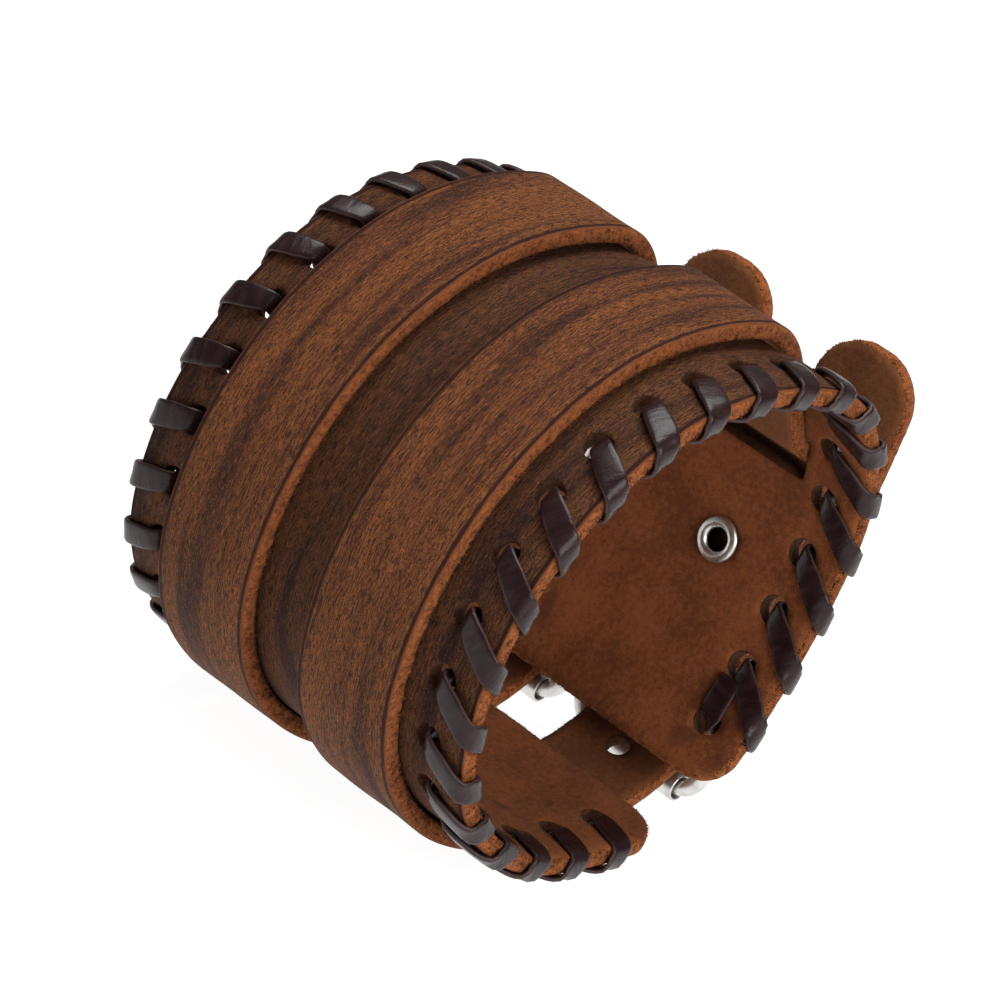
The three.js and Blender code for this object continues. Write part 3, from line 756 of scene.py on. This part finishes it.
def make_belt(side):
    half = STRAP_WIDTH / 2
    holes = [(FREE_LENGTH - HOLE_IN_USE - k * HOLE_PITCH, HOLE_RADIUS) for k in HOLES_FROM_USED]
    holes += [(u, RIVET_SHANK + GAP) for u in (RUN_AT_RIVET, BELT_LENGTH - (RIVET_AT - FOLD_ENDS))]
    ring = WIRE + 2 * PRONG + 2 * GAP
    u0, u1 = RUN_AT_HEEL - ring, RUN_AT_HEEL + math.pi * FOLD_RADIUS + ring
    loops = [(*rounded_outline(0, BELT_LENGTH, half, STRAP_TIP_RADIUS, FOLD_END_CORNER, 0.3), OUTER_WALL)]
    loops += [round_hole(u, 0, radius, 24) for u, radius in holes]
    outline = rounded_outline(u0, u1, RING_SLOT_HALF, RING_SLOT_CORNER, RING_SLOT_CORNER, 0.35)
    loops.append(hole_loop(*outline))

    def is_leather(points):
        keep = inside_outline(points, 0, BELT_LENGTH, half, STRAP_TIP_RADIUS, FOLD_END_CORNER)
        for u, radius in holes:
            keep &= outside_hole(points, u, 0, radius)
        return keep & ~inside_outline(points, u0, u1, RING_SLOT_HALF, RING_SLOT_CORNER, RING_SLOT_CORNER)

    def bend(u, v, depth):
        x, z, heading, thick = (np.interp(u, COURSE[:, 4], COURSE[:, i]) for i in range(4))
        y = STRAP_Y[side] + LEFT_END[1]
        swell = np.array([noise.noise(Vector((a * 0.12, b * 0.2, y))) for a, b in zip(u, v)]) * SWELL
        rests = (u > FREE_LENGTH - REST_STRETCH - 1) & (u < FREE_LENGTH + 1)
        lift = thick * (0.5 - depth) + np.where(rests, 0, swell)
        return np.stack([x - np.sin(heading) * lift, v + y, z + np.cos(heading) * lift], -1)

    return leather_piece(
        "belt_" + side, loops, is_leather, 0.7, BELT_LENGTH, half, bend, belt_grain[side], belt_suede,
        SEEDS[side], FIBRES[side],
    )


for side in STRAP_Y:
    take_over(make_belt(side), "strap_" + side)

# Sweeps and turned pieces


def unit(vectors):
    return vectors / np.linalg.norm(vectors, axis=-1, keepdims=True)


def swept(name, centres, acrosses, ups, section, material):
    """A solid with one section carried through stations; the section holds across and up in millimetres."""
    rows, sides = len(centres), len(section)
    section = section[::-1]
    across, up = section[None, :, :1], section[None, :, 1:]
    stations = centres[:, None] + acrosses[:, None] * across + ups[:, None] * up
    faces = []
    for a in range(0, (rows - 1) * sides, sides):
        b = a + sides
        faces += [(a + j, a + (j + 1) % sides, b + (j + 1) % sides, b + j) for j in range(sides)]
    faces += [tuple(range(sides))[::-1], tuple(range((rows - 1) * sides, rows * sides))]
    run = np.concatenate([[0], np.cumsum(np.linalg.norm(np.diff(centres, axis=0), axis=1))])
    flat = np.column_stack([np.repeat(run, sides), np.tile(section[:, 0], rows)])
    return new_piece(name, stations.reshape(-1, 3), faces, [material], None, flat)


def strip_section(width, thick, count=20, power=3.4):
    """A flat section with rounded edges."""
    a = np.linspace(0, 2 * np.pi, count, endpoint=False)
    c, s = np.cos(a), np.sin(a)
    x = np.sign(c) * np.abs(c) ** (2 / power) * width / 2
    return np.column_stack([x, np.sign(s) * np.abs(s) ** (2 / power) * thick / 2])


def round_section(radius, count=16):
    a = np.linspace(0, 2 * np.pi, count, endpoint=False)
    return np.column_stack([np.cos(a), np.sin(a)]) * radius


def lathed(name, profile, centre, axis, count=40, bore=None):
    """A ring of nickel turned about axis; profile is a closed loop of radius and height, bore the material of
    its inside faces, which the rivets use for painted shade.
    """
    profile = np.array(profile)
    axis = unit(np.array(axis, float))
    aside = np.array([0.3, 1.0, 0.2]) if abs(axis[1]) < 0.9 else np.array([1.0, 0, 0])
    side = unit(np.cross(axis, aside))
    other = np.cross(axis, side)
    rows = []
    for a in np.linspace(0, 2 * np.pi, count, endpoint=False):
        way = side * math.cos(a) + other * math.sin(a)
        rows.append(centre + way * profile[:, :1] + axis * profile[:, 1:])
    sides = len(profile)
    faces = []
    for i in range(count):
        a, b = i * sides, ((i + 1) % count) * sides
        faces += [(a + j, b + j, b + (j + 1) % sides, a + (j + 1) % sides) for j in range(sides)]
    if not bore:
        return new_piece(name, np.concatenate(rows), faces, [nickel])
    inner = profile[:, 0] < profile[:, 0].min() + 0.02
    marks = [int(inner[j] and inner[(j + 1) % sides]) for _ in range(count) for j in range(sides)]
    return new_piece(name, np.concatenate(rows), faces, [nickel, bore], marks)


def rounded_loop(corners, radius, count):
    """A closed outline with each corner rounded."""
    points = []
    corners = [np.array(corner, float) for corner in corners]
    for i, here in enumerate(corners):
        before, after = corners[i - 1], corners[(i + 1) % len(corners)]
        r = min(radius, np.linalg.norm(before - here) * 0.45, np.linalg.norm(after - here) * 0.45)
        a = here + unit(before - here) * r
        b = here + unit(after - here) * r
        for t in np.linspace(0, 1, count):
            points.append((1 - t) ** 2 * a + 2 * t * (1 - t) * here + t * t * b)
    return points


# Lacing


def loop_size(cos, sin, reach):
    """Distance of a stitch's middle line from the middle of its loop."""
    return (np.abs(cos / reach) ** LOOP_POWER + np.abs(sin / LOOP_DEPTH) ** LOOP_POWER) ** (-1 / LOOP_POWER)


def loop_shares():
    """Share of the way from the hole to the rim that the lace has gone at each angle of its loop."""
    angles = np.radians(np.arange(0, 181, 2))
    size = loop_size(np.cos(angles), np.sin(angles), LOOP_REACH)
    steps = np.hypot(np.diff(size * np.cos(angles)), np.diff(size * np.sin(angles)))
    run = np.concatenate([[0], np.cumsum(steps)])
    in_hole = LOOP_DEPTH * 0.8
    return np.degrees(angles), np.clip((run - in_hole) / (run[-1] - in_hole), 0, 1)


LOOP_ANGLES, LOOP_SHARES = loop_shares()


def stitch_point(rim, hole, angle):
    """Middle of the lace at an angle of its loop round the rim, the way its face looks, and its gathering."""
    pitch = lace_at(2) - lace_at(1)
    first, last = rim["slant"]
    slant = first + (last - first) * (hole - 1) / (LACE_HOLES - 1)
    reach = (rim["inset"] + LACE_CLEAR + LACE_THICK / 2) / 2
    cos, sin = math.cos(math.radians(angle)), math.sin(math.radians(angle))
    size = loop_size(cos, sin, reach)
    in_y, in_lift = size * cos, size * sin
    out, back = (float(np.interp(abs(angle - a), LOOP_ANGLES, LOOP_SHARES)) for a in (0, 360))
    out, back = (out, 0) if angle <= 180 else (1, 1 - back)
    s = lace_at(hole) - pitch * (slant * out + (1 - slant) * back)
    lift = in_lift + LACE_SWELL * max(sin, 0) ** 0.5 - BAND_THICK / 2
    y = rim["side"] * (BAND_WIDTH / 2 - rim["inset"] + reach - in_y)
    out_y = math.copysign(abs(in_y / reach) ** (LOOP_POWER - 1) / reach, in_y)
    out_lift = math.copysign(abs(in_lift / LOOP_DEPTH) ** (LOOP_POWER - 1) / LOOP_DEPTH, in_lift)
    heading = float(band_at(s)[2])
    up = np.array([-math.sin(heading) * out_lift, -rim["side"] * out_y, math.cos(heading) * out_lift])
    return over_band(s, lift, y), unit(up), max(cos, 0) ** 2


# Loose end of a lace: shares of its tuck and of the loop's depth, then which way its face looks
LOOSE_END = (
    {"back": 1.0, "drop": 1.0, "inside": 1, "ahead": 0, "inward": 0},
    {"back": 0.8, "drop": 1.0, "inside": 1, "ahead": 0, "inward": 0},
    {"back": 0.55, "drop": 1.0, "inside": 1, "ahead": 0.05, "inward": 0},
    {"back": 0.35, "drop": 0.98, "inside": 1, "ahead": 0.25, "inward": 0},
    {"back": 0.12, "drop": 0.82, "inside": 0.6, "ahead": 1, "inward": 0},
    {"back": 0.0, "drop": 0.45, "inside": 0, "ahead": 1, "inward": 1},
)


def loose_end_point(rim, row):
    s = lace_at(LACE_HOLES) - row["back"] * LACE_TUCK
    heading = float(band_at(s)[2])
    up = np.array([
        math.sin(heading) * row["inside"] + math.cos(heading) * row["ahead"],
        -rim["side"] * row["inward"],
        -math.cos(heading) * row["inside"] + math.sin(heading) * row["ahead"],
    ])
    y = rim["side"] * (BAND_WIDTH / 2 - rim["inset"])
    return over_band(s, -BAND_THICK / 2 - row["drop"] * LOOP_DEPTH, y), unit(up), 0.0


def make_lace(side):
    rim = RIMS[side]
    points = [loose_end_point(rim, row) for row in LOOSE_END]
    for hole in range(LACE_HOLES, 1, -1):
        points += [stitch_point(rim, hole, angle) for angle in range(0, 360, LACE_STEP)]
    points += [stitch_point(rim, 1, angle) for angle in range(0, 100, LACE_STEP)]
    centres, ups, gathers = (np.array(column) for column in zip(*points))
    along = unit(np.gradient(centres, axis=0))
    faces = unit(ups - along * np.sum(ups * along, axis=1, keepdims=True))
    acrosses = np.cross(faces, along) * (1 - LACE_GATHER * gathers)[:, None]
    section = strip_section(LACE_WIDTH, LACE_THICK)
    return swept("lacing_" + side, centres, acrosses, faces, section, lace_leather)


for side in RIMS:
    take_over(make_lace(side), "lace_" + side)

# Buckles and rivets


def to_place(flat, y):
    return np.array([flat[0], y, flat[1]])


def make_frame(side):
    """Wire bent round the heel bar and the roller, its ends meeting on the heel bar."""
    y = STRAP_Y[side] + LEFT_END[1]
    length = float(np.hypot(*(ROLLER_AT - HEEL)))
    along = to_place((ROLLER_AT - HEEL) / length, 0)
    half = STRAP_WIDTH / 2 + ROLLER_PLAY / 2 + FRAME_CORNER - WIRE
    r = FRAME_CORNER
    flat = [(0, FRAME_SEAM)]
    corners = (
        ((r, half - r), 90), ((length - r, half - r), 0),
        ((length - r, r - half), -90), ((r, r - half), -180),
    )
    for centre, start in corners:
        turns = np.radians(np.linspace(start + 90, start, 9))
        flat += [(centre[0] + r * math.cos(a), centre[1] + r * math.sin(a)) for a in turns]
    flat.append((0, -FRAME_SEAM))
    points = [flat[0]]
    for a, b in zip(flat, flat[1:]):
        steps = max(int(math.dist(a, b) / FRAME_STEP), 1)
        shares = [i / steps for i in range(1, steps + 1)]
        points += [(a[0] + (b[0] - a[0]) * t, a[1] + (b[1] - a[1]) * t) for t in shares]
    centres = np.array([to_place(HEEL, y) + along * u + np.array([0, v, 0]) for u, v in points])
    tangent = unit(np.gradient(centres, axis=0))
    normal = np.cross(along, np.array([0.0, 1.0, 0.0]))
    ups = np.repeat(normal[None], len(centres), axis=0)
    return swept("buckle_wire_" + side, centres, np.cross(ups, tangent), ups, round_section(WIRE), nickel)


def make_roller(side):
    half = (STRAP_WIDTH + ROLLER_PLAY) / 2
    bore = WIRE + GAP
    corners = [(bore, -half), (ROLLER, -half), (ROLLER, half), (bore, half)]
    centre = to_place(ROLLER_AT, STRAP_Y[side] + LEFT_END[1])
    return lathed("roller_" + side, rounded_loop(corners, 0.14, 3), centre, (0, 1, 0))


def make_prong(side):
    """A shank that ends in a rounded tip over the roller, and the ring round the heel bar."""
    y = STRAP_Y[side] + LEFT_END[1]
    ring = WIRE + GAP + PRONG
    along = to_place(PRONG_ALONG, 0)
    start, end = to_place(HEEL, y) + along * ring, to_place(PRONG_END, y)
    centres = [start + (end - start) * t for t in np.linspace(0, 1, 14)]
    centres += [end + along * d for d in (-0.001, 0.25, 0.45)]
    centres = np.array(centres)
    taper = np.concatenate([np.ones(15), [0.8, 0.35]])[:, None]
    ups = np.repeat(np.array([[0.0, 1.0, 0.0]]), len(centres), axis=0)
    acrosses = np.cross(ups, along)
    shank = swept("prong_" + side, centres, acrosses * taper, ups * taper, round_section(PRONG), nickel)
    eye_wire = round_section(PRONG, 14) + np.array([ring, 0])
    return shank, lathed("prong_ring_" + side, eye_wire, to_place(HEEL, y), (0, 1, 0))


def make_rivet(side):
    """Hollow rivet with a rolled flange on each face."""
    top = OVER_FOLD + STRAP_THICK / 2 + GAP / 2
    bottom = -(BAND_THICK + GAP / 2)
    rim = RIVET_FLANGE_THICK
    corners = [
        (RIVET_BORE, bottom - rim * 0.5), (RIVET_BORE + rim * 0.8, bottom - rim * 1.05),
        (RIVET_FLANGE - rim * 0.3, bottom - rim * 0.75), (RIVET_FLANGE, bottom), (RIVET_SHANK, bottom),
        (RIVET_SHANK, top), (RIVET_FLANGE, top), (RIVET_FLANGE - rim * 0.3, top + rim * 0.75),
        (RIVET_BORE + rim * 0.8, top + rim * 0.9), (RIVET_BORE, top + rim * 0.5),
    ]
    heading = float(band_at(RIVET_AT)[2])
    centre = over_band(RIVET_AT, 0.0, STRAP_Y[side])
    axis = (-math.sin(heading), 0, math.cos(heading))
    # the faces inside the bore take the near-black nickel, painted shade
    return lathed("eyelet_" + side, rounded_loop(corners, 0.3, 4), centre, axis, 48, painted_shade_bore)


for side in STRAP_Y:
    take_over(make_frame(side), "buckle_frame_" + side)
    take_over(make_roller(side), "buckle_roller_" + side)
    for piece in make_prong(side):
        take_over(piece, "buckle_prong_" + side)
    take_over(make_rivet(side), "rivet_" + side)

# Floor, light and camera

FLOOR_HALF = 3.0  # metres
FLOOR_DROP = 0.0001  # metres
BACK = Vector((-0.7616, -0.5336, 0.3678)).normalized()  # from the bracelet to the camera
RIGHT = Vector((0.6429, -0.6940, 0.3242)).normalized()
UP = BACK.cross(RIGHT).normalized()
MIDDLE = Vector((0, 0, 0.026))
PICTURE_SIZE = 1001  # pixels
AIM_PIXEL = (409.7, 399.0)  # where the aimed place, just below, falls in the picture
AIM = Vector((LEFT_END[0] - 34.06, LEFT_END[1], LEFT_END[2] + 40.49)) * MM
FOCAL = 5003.0  # pixels
DISTANCE = 0.456  # metres
SENSOR = 36.0  # millimetres


def make_floor():
    matt = {"Base Color": (0.25, 0.25, 0.25, 1), "Roughness": 0.9, "Specular IOR Level": 0.1}
    glow = {"Emission Color": (1, 1, 1, 1), "Emission Strength": 0.95}
    material = Shade("white_floor").finish({**matt, **glow})
    corners = np.array([(-1, -1), (1, -1), (1, 1), (-1, 1)]) * FLOOR_HALF
    places = np.column_stack([corners, [-FLOOR_DROP] * 4]) / MM
    new_piece("floor", places, [(0, 1, 2, 3)], [material])


def make_surroundings():
    world = bpy.data.worlds.new("studio")
    world.use_nodes = True
    background = world.node_tree.nodes["Background"]
    background.inputs["Color"].default_value = (1, 1, 1, 1)
    background.inputs["Strength"].default_value = 0.15
    bpy.context.scene.world = world


def place_light(name, offset, size, power):
    """A round lamp at an offset from the bracelet's middle, turned towards it."""
    light = bpy.data.lights.new(name, "AREA")
    light.shape = "DISK"
    light.size = size
    light.energy = power
    lamp = bpy.data.objects.new(name, light)
    lamp.location = MIDDLE + offset
    lamp.rotation_euler = (-offset).to_track_quat("-Z", "Y").to_euler()
    bpy.context.collection.objects.link(lamp)


def make_camera():
    """A camera that sees the aimed place along BACK and has it at its pixel in the picture."""
    off_x, off_y = (PICTURE_SIZE / 2 - pixel for pixel in AIM_PIXEL)
    toward = -BACK + RIGHT * (off_x / FOCAL) - UP * (off_y / FOCAL)
    back = -toward.normalized()
    right = (RIGHT - back * RIGHT.dot(back)).normalized()
    turn = Matrix((right, back.cross(right), back)).transposed()
    data = bpy.data.cameras.new("camera")
    data.sensor_width = SENSOR
    data.lens = FOCAL * toward.length / PICTURE_SIZE * SENSOR
    data.clip_start = 0.01
    data.clip_end = 20
    camera = bpy.data.objects.new("camera", data)
    camera.location = AIM + BACK * DISTANCE
    camera.rotation_euler = turn.to_euler()
    bpy.context.collection.objects.link(camera)
    bpy.context.scene.camera = camera


make_floor()
make_surroundings()
place_light("top", BACK * 0.1 + UP * 0.5 + RIGHT * 0.12, 0.4, 3.1)
place_light("front", BACK * 0.36 - UP * 0.02 + RIGHT * 0.26, 0.3, 1.5)
make_camera()
bpy.context.scene.view_settings.view_transform = "Standard"
